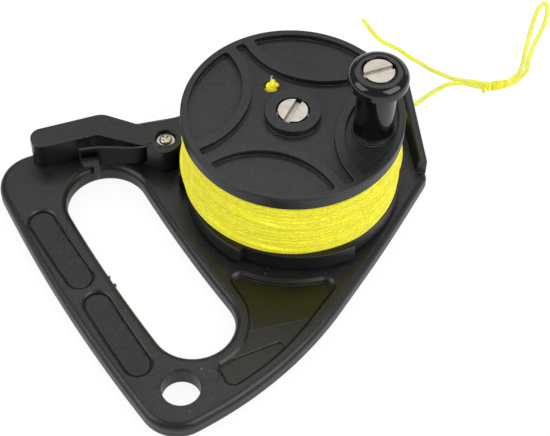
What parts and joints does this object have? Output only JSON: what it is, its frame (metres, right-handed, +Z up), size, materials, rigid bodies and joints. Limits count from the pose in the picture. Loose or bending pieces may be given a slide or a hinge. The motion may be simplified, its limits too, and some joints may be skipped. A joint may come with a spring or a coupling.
{
  "type": "dive reel",
  "caption": "Hand-held line reel: a flat plate with a hand hole and clip hole carries a spool of yellow line with a winding knob, braked by a sprung ratchet lever.",
  "frame": {"origin": "middle of the plate's footprint on the surface it lies on, the free end of the line left out", "axes": "+Z up along the spool's axis, from the plate to the winding knob; +X from the hand bar towards the guide wall"},
  "size_m": [0.2652, 0.1444, 0.085],
  "materials": {
    "moulded_black": "fine moulded grain, slight sheen",
    "gloss_black": "glossy",
    "bright_steel": "turned, satin",
    "yellow_line": "braided fluorescent line"
  },
  "bodies": {
    "frame": {"frame_plate": "moulded_black", "axle_barrel": "bright_steel", "axle_screw": "bright_steel", "axle_thrust_washer": "bright_steel", "axle_top_washer": "bright_steel", "lever_sleeve": "bright_steel", "lever_washer": "bright_steel", "lever_screw": "bright_steel", "line_lead": "yellow_line", "line_run": "yellow_line", "line_tail": "yellow_line", "line_loop": "yellow_line", "line_knot": "yellow_line"},
    "lever": {"brake_lever": "moulded_black", "lever_leaf_spring": "moulded_black"},
    "spool": {"spool_top_flange": "moulded_black", "spool_ratchet": "moulded_black", "winding_core": "yellow_line", "winding_line": "yellow_line", "anchor_knot": "yellow_line", "knob_barrel": "bright_steel", "knob_screw": "bright_steel", "knob_washer": "bright_steel"},
    "knob": {"knob_grip": "gloss_black"}
  },
  "joints": [
    {"name": "spool_spin", "type": "hinge", "parent": "frame", "child": "spool", "pos_m": [0.0166, 0.0025, 0.0145], "axis": [0, 0, 1], "continuous": true, "deforming": ["line_lead"]},
    {"name": "lever_pivot", "type": "hinge", "parent": "frame", "child": "lever", "pos_m": [-0.0185, 0.041, 0.0154], "axis": [0, 0, 1], "range_deg": [0, 8], "stiffness_Nm_per_rad": 0.5, "springref_deg": -5.73, "deforming": ["lever_leaf_spring"]},
    {"name": "knob_spin", "type": "hinge", "parent": "spool", "child": "knob", "pos_m": [0.03867, -0.01941, 0.0696], "axis": [0, 0, 1], "continuous": true}
  ]
}
